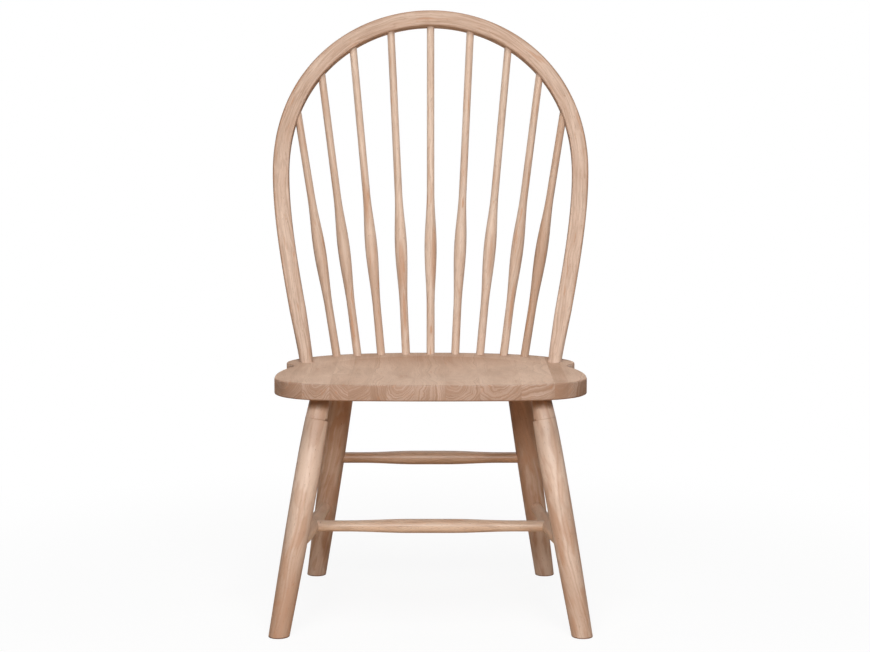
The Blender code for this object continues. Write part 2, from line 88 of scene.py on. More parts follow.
# Each leg's radius at its shoulder, and how far its neck stands off its axis, outward
FRONT_SHOULDER = (0.0206, 0.0009)
REAR_SHOULDER = (0.0220, 0.0019)
LEG_FULLEST_SHARE = 0.8
LEG_FOOT_EXTRA = 0.012
LEG_FOOT_ROUND = 0.0015
SOLE_HEIGHT = 0.0023
NECK_LENGTH = 0.0467
NECK_FOOT_RADIUS = 0.0196
NECK_TOP_RADIUS = 0.0172
NECK_STRAIGHT = 0.008
LEG_TENON = 0.012
# How far the leg's growth rings slant out through its face, per unit of height
LEG_RUNOUT = 0.14

# Stretchers
SIDE_STRETCHER_HEIGHT = 0.1455
REAR_STRETCHER_HEIGHT = 0.2455
STRETCHER_END_RADIUS = 0.0102
STRETCHER_MIDDLE_RADIUS = 0.0130
SIDE_STRETCHER_RADIUS = 0.0142
STRETCHER_FLAT_SHARE = 0.17
STRETCHER_REACH_SHARE = 0.72
SIDE_STRETCHER_REACH_SHARE = 0.85
MIDDLE_STRETCHER_SHARE = 0.53
LEG_CORE = 0.0065
STRETCHER_CORE = 0.003

# Bow: its centre line lies in a plane that leans back from its two feet
BOW_FOOT_SPREAD = 0.2296
BOW_FOOT_BACK = 0.300
BOW_LEAN = math.radians(15.0)
BOW_FOOT_SPLAY = math.radians(8.0)
HALF_BOW = 0.2803
BOW_WIDEST_AT = 0.3616
BOW_RISE = 0.6545
BOW_FOOT_PULL = 0.2472 * BOW_WIDEST_AT
BOW_WIDEST_DOWN_PULL = 0.3261 * BOW_WIDEST_AT
BOW_WIDEST_UP_PULL = 0.6374 * (BOW_RISE - BOW_WIDEST_AT)
BOW_TOP_PULL = 0.5052 * HALF_BOW
BOW_FACE_WIDTH = 0.030
BOW_FACE_DEPTH = 0.025
BOW_CORNER = 0.0038
BOW_FOOT_RADIUS = 0.0125
BOW_ROUND_PART = 0.006
BOW_TAPER_PART = 0.090
BOW_TENON = 0.0155

# Spindles, from the middle one outwards: feet across and forward of the row, tips across the bow
SPINDLE_FOOT_SHARES = ((0.0, 0.0), (0.1703, 0.0069), (0.3421, 0.0172), (0.5040, 0.0470),
                       (0.6448, 0.0835))
SPINDLE_TIP_SHARES = (0.0, 0.2704, 0.5280, 0.7413, 0.9040)
SPINDLE_ROW_BACK = 0.416
SPINDLE_FOOT_RADIUS = 0.0077
SPINDLE_TOP_RADIUS = 0.0070
SPINDLE_BULGE = 0.0042
SPINDLE_BULGE_HEIGHT = 0.203
SPINDLE_BULGE_BELOW = 0.115
SPINDLE_BULGE_ABOVE = 0.105
SPINDLE_TENON = 0.014
SPINDLE_TIP_BACK = 0.003

# Mesh detail
SEAT_CURVE_STEPS = 12
UNDERSIDE_SHARES = (1.0, 0.7, 0.4, 0.1)
DISH_RINGS = 46
DECK_RINGS = 16
EDGE_ROUND_STEPS = 5
LEG_SIDES = 48
LEG_RINGS = 40
NECK_RINGS = 8
LEG_FOOT_SEGMENTS = 3
TURNED_SIDES = 40
STRETCHER_RINGS = 72
SPINDLE_RINGS = 150
BORE_SIDES = 40
BOW_STEPS = 90
BOW_CORNER_STEPS = 7
# Share of a step that keeps the arc of each corner off the next one
BOW_CORNER_GAP = 0.02
CREASE = math.radians(32.0)

# Tones: how much deeper, and how much redder, a spot is than the plain wood

# Where the growth rings of each stave's wood centre, seen on its front end grain: x and height
STAVE_PITHS = ((-0.260, 0.447), (-0.193, 0.455), (-0.120, 0.500), (-0.128, 0.448),
               (-0.051, 0.450), (-0.300, 0.430), (0.040, 0.447), (0.122, 0.452),
               (0.160, 0.520), (0.2254, 0.4475))
STAVE_TONES = ((0.18, 0.05), (0.02, 0.0), (0.18, 0.10), (0.04, 0.03), (0.0, 0.02), (0.02, 0.0),
               (-0.02, 0.03), (0.01, 0.0), (-0.06, 0.0), (0.10, 0.02))
# How much deeper still its end grain is along the rim
STAVE_RIM_DEPTHS = (-0.06, 0.04, -0.04, 0.16, 0.04, 0.0, 0.14, 0.14, 0.10, 0.02)
# The third stave is joined of two lengths, at this distance back
THIRD, THIRD_JOINT, THIRD_REAR_TONE = 2, 0.139, (-0.02, 0.0)
# The fifth stave's end grain is darker on its left
FIFTH, FIFTH_STRIPE_EDGE, FIFTH_STRIPE_DEPTH = 4, -0.0757, 0.30
# The last stave has a stripe of heartwood on its left
TENTH, TENTH_STRIPE_EDGE, TENTH_STRIPE_TONE = 9, 0.238, (0.26, 0.18)
# Where those staves change their tone: a place and a direction
STAVE_SCORES = {THIRD: ((0.0, THIRD_JOINT, 0.0), (0.0, 1.0, 0.0)),
                FIFTH: ((FIFTH_STRIPE_EDGE, 0.0, 0.0), (1.0, 0.0, 0.0)),
                TENTH: ((TENTH_STRIPE_EDGE, 0.0, 0.0), (1.0, 0.0, 0.0))}
SAW_KERF = 0.0001
SAW_TOUCH = 1e-7
# The deck behind the dish is a little deeper in tone, painted shade for the light falling off
# toward the rear, and its far rim is darker
DECK_START, DECK_FADE, DECK_SHADE = 0.31, 0.08, 0.36
FAR_RIM_SHARE = 0.75
FAR_RIM_DARK_REACH, FAR_RIM_DARK_FADE, FAR_RIM_DARK_DEPTH = 0.009, 0.006, 0.80
# A pale band across the front of the seat's top is painted light that lifts the shade of the
# dish's gentle front slope
BAND_MIDDLE, BAND_REACH, FRONT_SLOPE_LIGHT = 0.10, 0.07, 0.10
# The lower arris gets painted shade, up to this share of its rounding
LOWER_ARRIS_SHARE, LOWER_ARRIS_SHADE = 0.8, 0.60
# The wall of the recess in each side of the seat is paler: painted light that lifts the shadow on
# it
RECESS_SHARES = (0.55, 0.75)
RECESS_PAINTED_LIGHT = 0.60
# Distance from a glued face, for wood that has none near
FAR_FROM_GLUE = 1.0


def ramp(value, start, run):
    """0 up to start, 1 from start + run on, and a straight rise between."""
    return min(max((value - start) / run, 0.0), 1.0)


def arithmetic(operation):
    """An operator's two methods, plain and reflected, each of which adds a Math node."""
    return (lambda self, other: self.graph.math(operation, self, other),
            lambda self, other: self.graph.math(operation, other, self))


class Socket:
    """An output in a node tree, on which arithmetic can be written."""

    __add__, __radd__ = arithmetic('ADD')
    __sub__, __rsub__ = arithmetic('SUBTRACT')
    __mul__, __rmul__ = arithmetic('MULTIPLY')
    __truediv__, __rtruediv__ = arithmetic('DIVIDE')
    __pow__, __rpow__ = arithmetic('POWER')

    def __init__(self, graph, plug):
        self.graph = graph
        self.plug = plug

    def math(self, operation, *values):
        return self.graph.math(operation, self, *values)


class Graph:
    """A node tree written as expressions."""

    def __init__(self, tree):
        self.tree = tree
        tree.nodes.clear()

    def node(self, kind, settings=(), values=(), output=0):
        """Add a node, set it up, fill or link its sockets, and give back one of its outputs."""
        made = self.tree.nodes.new(kind)
        for name, value in dict(settings).items():
            setattr(made, name, value)
        for key, value in dict(values).items():
            if isinstance(value, Socket):
                self.tree.links.new(value.plug, made.inputs[key])
            else:
                made.inputs[key].default_value = value
        return Socket(self, made.outputs[output]) if len(made.outputs) else None

    def math(self, operation, *values):
        return self.node("ShaderNodeMath", {"operation": operation}, enumerate(values))

    def vector(self, operation, *values, output=0):
        return self.node("ShaderNodeVectorMath", {"operation": operation}, enumerate(values),
                         output)

    def clamp(self, value):
        return self.node("ShaderNodeClamp", values={"Value": value})

    def parts_of(self, vector):
        split = self.node("ShaderNodeSeparateXYZ", values={"Vector": vector})
        return [Socket(self, plug) for plug in split.plug.node.outputs]

    def blend(self, share, first, second, how='MIX'):
        """Mix two colours by a share from 0 to 1."""
        return self.node("ShaderNodeMix", {"data_type": 'RGBA', "clamp_factor": True,
                                           "blend_type": how},
                         {0: share, 6: first, 7: second}, 2)

    def noise(self, vector, scale, detail=2.0, roughness=0.5, output="Fac"):
        """Soft noise on a vector that is first stretched by three scales."""
        stretched = self.vector('MULTIPLY', vector, scale)
        return self.node("ShaderNodeTexNoise", {"noise_dimensions": '3D'},
                         {"Vector": stretched, "Scale": 1.0, "Detail": detail,
                          "Roughness": roughness}, output)

    def line_noise(self, place, detail):
        """Soft noise along one line."""
        return self.node("ShaderNodeTexNoise", {"noise_dimensions": '1D'},
                         {"W": place, "Scale": 1.0, "Detail": detail, "Roughness": 0.6})

    def drift(self, vector, scale, reach):
        """A vector that wanders softly by up to half its reach."""
        wander = self.noise(vector, scale, output="Color")
        wander = self.vector('SUBTRACT', wander, (0.5, 0.5, 0.5))
        return self.node("ShaderNodeVectorMath", {"operation": 'SCALE'},
                         {0: wander, "Scale": reach})

    def step(self, value, low, high):
        """0 below low, 1 above high, and a smooth rise between."""
        return self.node("ShaderNodeMapRange", {"interpolation_type": 'SMOOTHSTEP'},
                         {"Value": value, "From Min": low, "From Max": high})

    def figure(self, grain, across, along, detail, roughness, low, high):
        """Noise in waves per metre across and along the grain, cut to a figure by a step."""
        return self.step(self.noise(grain, (across, across, along), detail, roughness), low, high)


def shaded(colour, shares):
    """A colour with its three channels scaled."""
    return tuple(channel * share for channel, share in zip(colour, shares)) + (1.0,)


def wood(name, base, streaky, figured, rosiness, flaming, roughness, gloss, end_grain=0.0):
    """Bare sanded hardwood: growth rings, streaks, fibres, pores, rosy flames and flecks, and on
    the seat painted shade on slopes that face forward.
    """
    pale = shaded(base, (1.22, 1.27, 1.32))
    deep = shaded(base, (0.60, 0.50, 0.42))
    rosy = shaded(base, (0.84, 0.66, 0.55))
    flame = shaded(base, (0.80, 0.50, 0.30))
    dark = shaded(base, (0.36, 0.24, 0.17))
    material = bpy.data.materials.new(name)
    material.use_nodes = True
    g = Graph(material.node_tree)
    grain = g.node("ShaderNodeAttribute", {"attribute_name": "grain"}, output="Vector")
    tone = g.node("ShaderNodeAttribute", {"attribute_name": "tone"}, output="Vector")
    depth, redness, from_glue = g.parts_of(tone)

    slow_drift = g.drift(grain, (11.0, 11.0, 6.0), 0.028 + 0.04 * end_grain)
    quick_drift = g.drift(grain, (85.0, 85.0, 22.0), 0.0036 + 0.004 * end_grain)
    warped = g.vector('ADD', g.vector('ADD', grain, slow_drift), quick_drift)
    across, through, _ = g.parts_of(warped)
    radius = (across * across + through * through) ** 0.5
    years = g.step(g.line_noise(radius * 300.0, 3.0), 0.54, 0.68)
    bands = g.step(g.line_noise(radius * 85.0, 2.0), 0.32, 0.70)
    streaks = g.figure(warped, 380.0, 12.0, 2.0, 0.55, 0.36, 0.66)
    fibres = g.figure(grain, 950.0, 20.0, 3.0, 0.62, 0.34, 0.70)
    pores = g.figure(grain, 1100.0, 130.0, 1.0, 0.5, 0.66, 0.74)
    patches = g.figure(grain, 30.0, 7.0, 2.0, 0.5, 0.35, 0.70)
    blush = g.figure(warped, 60.0, 13.0, 2.0, 0.55, 0.45, 0.60)
    flames = g.figure(warped, 120.0, 11.0, 2.0, 0.55, 0.62, 0.74)
    flecks = g.figure(grain, 420.0, 90.0, 1.0, 0.5, 0.73, 0.79)
    dots = g.figure(grain, 330.0, 260.0, 0.0, 0.5, 0.87, 0.90)

    darkness = (years * figured + bands * figured + streaks * streaky
                + fibres * (0.03 + 0.5 * streaky) + patches * 0.18 + depth - 0.08)
    blushing = (blush * 0.55 + bands * 0.40) * rosiness + redness
    if end_grain:
        normal = g.node("ShaderNodeNewGeometry", output="Normal")
        lean = g.parts_of(normal)[1]
        facing = lean.math('ABSOLUTE')
        end = g.step(facing, 0.12, 0.50) * end_grain
        # Painted warm shade on slopes that face forward, such as the dish's rear wall, partly the
        # end grain that shows there
        scooped = g.step(-1.0 * lean, 0.0, 0.13) * (1.0 - g.step(facing, 0.25, 0.5))
        rings = g.step(g.line_noise(radius * 430.0, 2.0), 0.44, 0.62)
        darkness = (darkness + end * (rings * 0.30 + years * 0.15 + bands * 0.14 + 0.49)
                    + scooped * (0.34 * end_grain))
        blushing = blushing + end * rings * 0.14 + scooped * 0.26
    colour = g.blend(g.clamp(darkness), pale, deep)
    colour = g.blend(g.clamp(blushing), colour, rosy)
    colour = g.blend(g.clamp(darkness - 1.15), colour, dark)
    if end_grain:
        colour = g.blend(end, colour, END_GRAIN_TINT, 'MULTIPLY')
    fiery = g.clamp(flames * flaming) + g.clamp(redness - 1.0)
    colour = g.blend(g.clamp(fiery), colour, flame)
    colour = g.blend(pores * 0.38, colour, dark)
    colour = g.blend(flecks * 0.65, colour, flame)
    colour = g.blend(dots * 0.80, colour, dark)
    colour = g.blend((1.0 - g.step(from_glue, 0.0, 0.0005)) * 0.16, colour, dark)

    height = fibres * 0.5 - pores * 0.9 + streaks * 0.3
    bump = g.node("ShaderNodeBump", values={"Strength": 0.3, "Distance": 0.0002,
                                            "Height": height}, output="Normal")
    sheen = roughness + fibres * 0.08 + patches * 0.05
    shader = g.node("ShaderNodeBsdfPrincipled",
                    values={"Base Color": colour, "Roughness": sheen, "Normal": bump,
                            "Specular IOR Level": gloss})
    g.node("ShaderNodeOutputMaterial", values={"Surface": shader})
    return material


END_GRAIN_TINT = (0.885, 0.955, 1.07, 1.0)
# Colour, streaks, figure, rosy patches, flames, roughness, gloss, and the seat's end grain
WOOD_KINDS = {
    "seat_wood": ((0.64, 0.445, 0.325), 0.06, 0.20, 0.15, 0.30, 0.56, 0.32, 0.85),
    "leg_wood": ((0.60, 0.438, 0.335), 0.10, 0.15, 0.90, 0.22, 0.40, 0.48),
    "stretcher_wood": ((0.77, 0.56, 0.41), 0.16, 0.14, 0.60, 0.40, 0.30, 0.6),
    "bow_wood": ((0.58, 0.42, 0.32), 0.32, 0.18, 0.22, 0.48, 0.50, 0.32),
    "spindle_wood": ((0.65, 0.495, 0.385), 0.18, 0.14, 0.30, 0.62, 0.46, 0.36),
}
WOODS = {slot: wood(slot, *kind) for slot, kind in WOOD_KINDS.items()}


def on_table(name, data):
    """Put a mesh, curve, lamp or camera in the scene as a new object."""
    item = bpy.data.objects.new(name, data)
    bpy.context.scene.collection.objects.link(item)
    return item


def settled(item):
    """The item's mesh with its modifiers worked in; the item itself goes."""
    bpy.context.view_layer.update()
    evaluated = item.evaluated_get(bpy.context.evaluated_depsgraph_get())
    mesh = bpy.data.meshes.new_from_object(evaluated)
    bpy.data.objects.remove(item)
    return mesh


def set_attribute(mesh, name, vectors):
    attribute = mesh.attributes.new(name, 'FLOAT_VECTOR', 'POINT')
    attribute.data.foreach_set("vector", [share for vector in vectors for share in vector])


def finish_piece(name, mesh, slot, grain, tone):
    """Dress a mesh: mark its grain and tone, give it its wood, put it in place on the body and
    hide its node.
    """
    set_attribute(mesh, "grain", [grain(vertex.co) for vertex in mesh.vertices])
    set_attribute(mesh, "tone", [tone(vertex.co) for vertex in mesh.vertices])
    mesh.transform(IN_PLACE)
    mesh.name = name + "_wood"
    mesh.materials.clear()
    mesh.materials.append(WOODS[slot])
    mesh.shade_smooth()
    mesh.set_sharp_from_angle(angle=CREASE)
    piece = on_table(name + "_wood", mesh)
    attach(piece, BODY)
    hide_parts(name)


def to_mesh(shape, name):
    bmesh.ops.recalc_face_normals(shape, faces=shape.faces)
    mesh = bpy.data.meshes.new(name)
    shape.to_mesh(mesh)
    shape.free()
    return mesh


def everything(shape):
    return shape.verts[:] + shape.edges[:] + shape.faces[:]


def cut_off(shape, place, direction, touch=0.0):
    """Cut away what lies beyond a plane, in its direction, and close the cut."""
    cut = bmesh.ops.bisect_plane(shape, geom=everything(shape), dist=touch, plane_co=place,
                                 plane_no=direction, clear_outer=True)
    rim = [edge for edge in cut["geom_cut"] if isinstance(edge, bmesh.types.BMEdge)]
    bmesh.ops.contextual_create(shape, geom=rim)


def score(shape, place, direction):
    """Two cuts close together, between which the wood can change its tone."""
    for offset in (-SAW_KERF, SAW_KERF):
        spot = Vector(place) + Vector(direction) * offset
        bmesh.ops.bisect_plane(shape, geom=everything(shape), plane_co=spot, plane_no=direction)


def loft(rings):
    """A closed skin over rings of points, with flat ends."""
    shape = bmesh.new()
    skin = [[shape.verts.new(point) for point in ring] for ring in rings]
    for ring, following in zip(skin, skin[1:]):
        for index in range(len(ring)):
            beside = (index + 1) % len(ring)
            shape.faces.new((ring[index], ring[beside], following[beside], following[index]))
    shape.faces.new(skin[0])
    shape.faces.new(skin[-1])
    return shape


def standing(base, tip):
    """The matrix that stands an upright shape at base, with its Z axis toward tip."""
    turn = (tip - base).to_track_quat('Z', 'Y').to_matrix().to_4x4()
    return Matrix.Translation(base) @ turn


def bored(mesh, holes):
    """Bore round blind holes, each a (mouth, bottom, radius), into a closed mesh."""
    bits = bmesh.new()
    for mouth, bottom, radius in holes:
        reach = (bottom - mouth).length
        place = standing(mouth, bottom) @ Matrix.Translation((0.0, 0.0, GAP / 2))
        bmesh.ops.create_cone(bits, cap_ends=True, segments=BORE_SIDES, radius1=radius + GAP,
                              radius2=radius + GAP, depth=2 * reach + GAP, matrix=place)
    drill = on_table("drill", to_mesh(bits, "drill"))
    item = on_table("blank", mesh)
    cut = item.modifiers.new("bores", 'BOOLEAN')
    cut.operation = 'DIFFERENCE'
    cut.solver = 'EXACT'
    cut.object = drill
    result = settled(item)
    bpy.data.objects.remove(drill)
    return result


def turning_tree():
    """Geometry nodes that turn a straight piece with a taper and one swelling."""
    tree = bpy.data.node_groups.new("turned_piece", 'GeometryNodeTree')
    labels = {"Vector": ("Start", "End"), "Int": ("Rings", "Sides"),
              "Float": ("Tenon", "Foot radius", "Tip radius", "Taper run", "Swelling",
                        "Swelling height", "Swelling flat", "Reach below", "Reach above"),
              "Material": ("Material",)}
    identifiers = {}
    for kind, names in labels.items():
        for label in names:
            socket = tree.interface.new_socket(label, in_out='INPUT',
                                               socket_type="NodeSocket" + kind)
            identifiers[label] = socket.identifier
    tree.interface.new_socket("Piece", in_out='OUTPUT', socket_type='NodeSocketGeometry')
    g = Graph(tree)
    entry = g.node("NodeGroupInput").plug.node
    size = {label: Socket(g, entry.outputs[label]) for label in identifiers}
    run = g.vector('SUBTRACT', size["End"], size["Start"])
    length = g.vector('LENGTH', run, output="Value")
    top = g.node("ShaderNodeCombineXYZ", values={"Z": length})
    line = g.node("GeometryNodeCurvePrimitiveLine", values={"End": top})
    line = g.node("GeometryNodeResampleCurve", values={"Curve": line, "Count": size["Rings"]})
    height = g.parts_of(g.node("GeometryNodeInputPosition"))[2] - size["Tenon"]
    taper = g.clamp(height / size["Taper run"])
    plain = size["Foot radius"] + (size["Tip radius"] - size["Foot radius"]) * taper
    offset = height - size["Swelling height"]
    above = offset.math('GREATER_THAN', 0.0)
    reach = size["Reach below"] + (size["Reach above"] - size["Reach below"]) * above
    share = (offset.math('ABSOLUTE') - size["Swelling flat"]) / (reach - size["Swelling flat"])
    swell = (g.clamp(share) * (0.5 * math.pi)).math('COSINE') ** 2.0
    radius = plain + size["Swelling"] * swell
    section = g.node("GeometryNodeCurvePrimitiveCircle",
                     values={"Resolution": size["Sides"], "Radius": 1.0})
    skin = g.node("GeometryNodeCurveToMesh",
                  values={"Curve": line, "Profile Curve": section, "Scale": radius,
                          "Fill Caps": True})
    turn = g.node("FunctionNodeAlignRotationToVector", {"axis": 'Z'}, {"Vector": run})
    placed = g.node("GeometryNodeTransform",
                    values={"Geometry": skin, "Translation": size["Start"], "Rotation": turn})
    real = g.node("GeometryNodeRealizeInstances", values={"Geometry": placed})
    dressed = g.node("GeometryNodeSetMaterial",
                     values={"Geometry": real, "Material": size["Material"]})
    g.node("NodeGroupOutput", values={"Piece": dressed})
    return tree, identifiers


TURNING, TURNING_INPUTS = turning_tree()


def along_axis(base, tip, pith, runout=0.0):
    """Grain of a straight piece: across its axis from the pith, and along it from its own start.

    With some runout the rings slant out through its face and show there as pointed arches.
    """
    upright = standing(base, tip).inverted()
    shift = Vector(pith)

    def grain(point):
        local = upright @ point
        return local + shift + Vector((0.0, runout * local.z, 0.0))

    return grain


def build_turned(name, slot, base, tip, sizes, holes, pith, tone):
    """Turn a straight piece from base to tip, bore its holes and dress it."""
    item = on_table(name, bpy.data.meshes.new(name))
    modifier = item.modifiers.new("turning", 'NODES')
    modifier.node_group = TURNING
    sizes = {"Start": base, "End": tip, "Sides": TURNED_SIDES, "Material": WOODS[slot], **sizes}
    for label, value in sizes.items():
        modifier[TURNING_INPUTS[label]] = value
    mesh = settled(item)
    if holes:
        mesh = bored(mesh, holes)
    finish_piece(name, mesh, slot, along_axis(base, tip, pith), tone)


def plain_tone(depth, redness):
    return lambda point: (depth, redness, FAR_FROM_GLUE)


# Seat

def seat_outline():
    """The board's outline as closely spaced points, anticlockwise from the front's middle."""
    half = [(HALF_SEAT * across, SEAT_DEPTH * back) for across, back in SEAT_SHARES]
    corners = [(0.0, 0.0), *half, (0.0, SEAT_DEPTH), *[(-x, y) for x, y in reversed(half)]]
    curve = bpy.data.curves.new("seat_outline", 'CURVE')
    curve.dimensions = '2D'
    curve.fill_mode = 'NONE'
    curve.resolution_u = SEAT_CURVE_STEPS
    spline = curve.splines.new('BEZIER')
    spline.bezier_points.add(len(corners) - 1)
    spline.use_cyclic_u = True
    for point, (x, y) in zip(spline.bezier_points, corners):
        point.co = (x, y, 0.0)
        point.handle_left_type = 'AUTO'
        point.handle_right_type = 'AUTO'
    mesh = settled(on_table("seat_outline", curve))
    return [Vector((vertex.co.x, vertex.co.y)) for vertex in mesh.vertices]


def dish_share(x, y):
    """How far a point of the seat's top lies toward the dish's rim, and how far to its rear."""
    reach = DISH_REAR_REACH if y > DISH_MIDDLE else DISH_FRONT_REACH
    rearward = (y - DISH_MIDDLE) / reach
    return math.hypot(x / DISH_HALF_WIDTH, rearward), rearward


def dish_depth(x, y):
    """How deep the dish is at a point of the seat's top."""
    share, rearward = dish_share(x, y)
    if share >= 1.0:
        return 0.0
    crisp = ramp(rearward, 0.0, CRISP_TURN * max(share, 0.01))
    crisp = crisp * crisp * (3.0 - 2.0 * crisp)
    soft_wall, crisp_wall = (1.0 - share ** 2) ** 2, 1.0 - share ** CRISP_POWER
    return DISH_DEEP * ((1.0 - crisp) * soft_wall + crisp * crisp_wall)


def dish_rim_share(middle, edge):
    """Where the line from the seat's middle to its edge crosses the dish's rim, as a share."""
    low, high = 0.0, 1.0
    for _ in range(30):
        share = 0.5 * (low + high)
        point = middle.lerp(edge, share)
        if dish_share(point.x, point.y)[0] < 1.0:
            low = share
        else:
            high = share
    return high


def seat_board():
    """The glued board: rings of points from the top's middle, over the rim, to the underside."""
    outline = seat_outline()
    middle = Vector((0.0, 0.5 * SEAT_DEPTH))
    outward = []
    for index in range(len(outline)):
        tangent = (outline[(index + 1) % len(outline)] - outline[index - 1]).normalized()
        outward.append(Vector((tangent.y, -tangent.x)))
    inset = [point - normal * SEAT_EDGE_ROUND for point, normal in zip(outline, outward)]
    rims = [dish_rim_share(middle, point) for point in inset]
    rings = []
    for step in range(1, DISH_RINGS + DECK_RINGS + 1):
        inner, outer = min(step / DISH_RINGS, 1.0), max(step - DISH_RINGS, 0) / DECK_RINGS
        flat = [middle.lerp(point, rim * inner + (1.0 - rim) * outer)
                for point, rim in zip(inset, rims)]
        rings.append([(p.x, p.y, SEAT_HEIGHT - dish_depth(p.x, p.y)) for p in flat])
    for rim, up in ((SEAT_HEIGHT - SEAT_EDGE_ROUND, 1), (UNDERSIDE + SEAT_EDGE_ROUND, -1)):
        for step in range(EDGE_ROUND_STEPS):
            turn = 0.5 * math.pi * (step + (up > 0)) / EDGE_ROUND_STEPS
            out = math.sin(turn) if up > 0 else math.cos(turn)
            rise = math.cos(turn) if up > 0 else math.sin(turn)
            rings.append([(*(p + n * out * SEAT_EDGE_ROUND), rim + up * rise * SEAT_EDGE_ROUND)
                          for p, n in zip(inset, outward)])
    for share in UNDERSIDE_SHARES:
        rings.append([(*middle.lerp(point, share), UNDERSIDE) for point in inset])
    return rings


def seat_holes():
    """Every blind hole in the seat, as (mouth, bottom, radius)."""
    holes = []
    for side in (-1, 1):
        for line, shoulder in ((leg_line(side, FRONT_LEG_TOP, FRONT_LEG_SPREAD), FRONT_SHOULDER),
                               (leg_line(side, REAR_LEG_TOP, REAR_LEG_SPREAD), REAR_SHOULDER)):
            foot, top = line
            outward = Vector((side * shoulder[1], 0.0, 0.0))
            bottom = top + (top - foot).normalized() * LEG_TENON
            holes.append((top + outward, bottom + outward, NECK_TOP_RADIUS))
        mouth = Vector((side * BOW_FOOT_SPREAD, 0.0, 0.0))
        down = Vector((side * math.sin(BOW_FOOT_SPLAY), 0.0, math.cos(BOW_FOOT_SPLAY)))
        bottom = mouth - down * BOW_TENON
        holes.append((BOW_PLANE @ mouth, BOW_PLANE @ bottom, BOW_FOOT_RADIUS))
    for foot, _, along in spindle_lines():
        holes.append((foot, foot - along * SPINDLE_TENON, SPINDLE_FOOT_RADIUS))
    return holes


def in_dish(point):
    return point.z > UNDERSIDE + 0.5 * SEAT_THICKNESS and dish_share(point.x, point.y)[0] < 1.0


def build_seat():
    rings = seat_board()
    whole = loft(rings)
    far_rim = [Vector(point[:2]) for point in rings[-1 - len(UNDERSIDE_SHARES) - EDGE_ROUND_STEPS]
               if point[1] > FAR_RIM_SHARE * SEAT_DEPTH]
    joints = [HALF_SEAT * share for share in STAVE_JOINT_SHARES]
    holes = seat_holes()
    limits = (-math.inf, *joints, math.inf)
    for index, (left, right) in enumerate(zip(limits, limits[1:])):
        name = f"seat_stave_{index + 1:02d}"
        shape = whole.copy()
        for x, direction in ((left, -1), (right, 1)):
            if math.isfinite(x):
                cut_off(shape, (x, 0, 0), (direction, 0, 0), SAW_TOUCH)
        if index in STAVE_SCORES:
            score(shape, *STAVE_SCORES[index])
        mesh = to_mesh(shape, name)
        near = [hole for hole in holes if left < hole[0].x + 2 * hole[2]
                and right > hole[0].x - 2 * hole[2]]
        if near:
            mesh = bored(mesh, near)
        pith_x, pith_z = STAVE_PITHS[index]

        def grain(point):
            return (point.x - pith_x, point.z - pith_z, point.y + index)

        def tone(point):
            depth, redness = STAVE_TONES[index]
            if index == THIRD and point.y > THIRD_JOINT:
                depth, redness = THIRD_REAR_TONE
            if index == TENTH and point.x < TENTH_STRIPE_EDGE:
                depth, redness = TENTH_STRIPE_TONE
            if point.z < SEAT_HEIGHT - 0.5 * SEAT_EDGE_ROUND and not in_dish(point):
                depth += STAVE_RIM_DEPTHS[index]
                if index == FIFTH and point.x < FIFTH_STRIPE_EDGE:
                    depth += FIFTH_STRIPE_DEPTH
                # Painted light on the shadowed wall of each side's recess
                low, high = RECESS_SHARES
                depth -= RECESS_PAINTED_LIGHT * (low < point.y / SEAT_DEPTH < high)
                # Painted shade on the lower arris, which turns down away from the light
                above = (point.z - UNDERSIDE) / SEAT_EDGE_ROUND
                depth += LOWER_ARRIS_SHADE * (above < LOWER_ARRIS_SHARE)
            else:
                # Painted shade: the deck darkens toward the rear, where the light falls off
                depth += DECK_SHADE * ramp(point.y, DECK_START, DECK_FADE)
                away = min((point.xy - place).length for place in far_rim)
                depth += FAR_RIM_DARK_DEPTH * ramp(FAR_RIM_DARK_REACH - away, 0.0, FAR_RIM_DARK_FADE)
                # Painted light on the dish's front slope
                depth -= FRONT_SLOPE_LIGHT * max(1.0 - abs(point.y - BAND_MIDDLE) / BAND_REACH, 0.0)
            return (depth, redness, min(point.x - left, right - point.x, FAR_FROM_GLUE))

        finish_piece(name, mesh, "seat_wood", grain, tone)
    whole.free()


# Legs

# How far below the shoulder, and how far inside its radius, the rings of its rounding lie
SHOULDER_ROUND = ((0.0008, 0.0001), (0.0005, 0.00013), (0.00015, 0.00045))
# How far below the shoulder the body's rings end
BODY_END = 0.001
# The ledge on the shoulder: how far in its outer ring lies, how far past the neck at least, how
# far the neck flares to meet it, and how much of the neck's offset the outer ring takes
LEDGE_INSET, LEDGE_LEAST, NECK_FLARE, LEDGE_OFFSET_SHARE = 0.0009, 0.0004, 0.0003, 0.25
# Rings up the foot of the neck, close together to hold the painted shade of the thin line round
# the shoulder
NECK_FOOT_HEIGHTS = (0.0004, 0.0008, 0.0012)
# Painted shade in a thin dark line round the shoulder, at the step to the neck: its half width and
# depth
SHOULDER_LINE_HALF_WIDTH, SHOULDER_LINE_SHADE = 0.0006, 0.22
# A leg's inner side gets painted shade from this share of its radius inward
INNER_START, INNER_FADE = 0.48, 0.40
# Shadowed notch on the inner side of the shoulder: from, to, least turn inward, depth
NOTCH_FROM, NOTCH_TO, NOTCH_INWARD, NOTCH_DEPTH = -0.0009, 0.0013, 0.40, 1.5
# Painted shade in the nook between the neck and the seat
NOOK_REACH, NOOK_FADE, NOOK_SHADE = 0.028, 0.008, 1.25
# Painted shadow along the foot's rounded bottom edge
SOLE_SHADOW = 1.6
ON_FLOOR = 1e-6
# Heights where the foot's tone gives way to the middle's, and the middle's to the top's
FOOT_TONE_END, FOOT_TONE_FADE = 0.06, 0.14
MIDDLE_TONE_END, MIDDLE_TONE_FADE = 0.22, 0.10
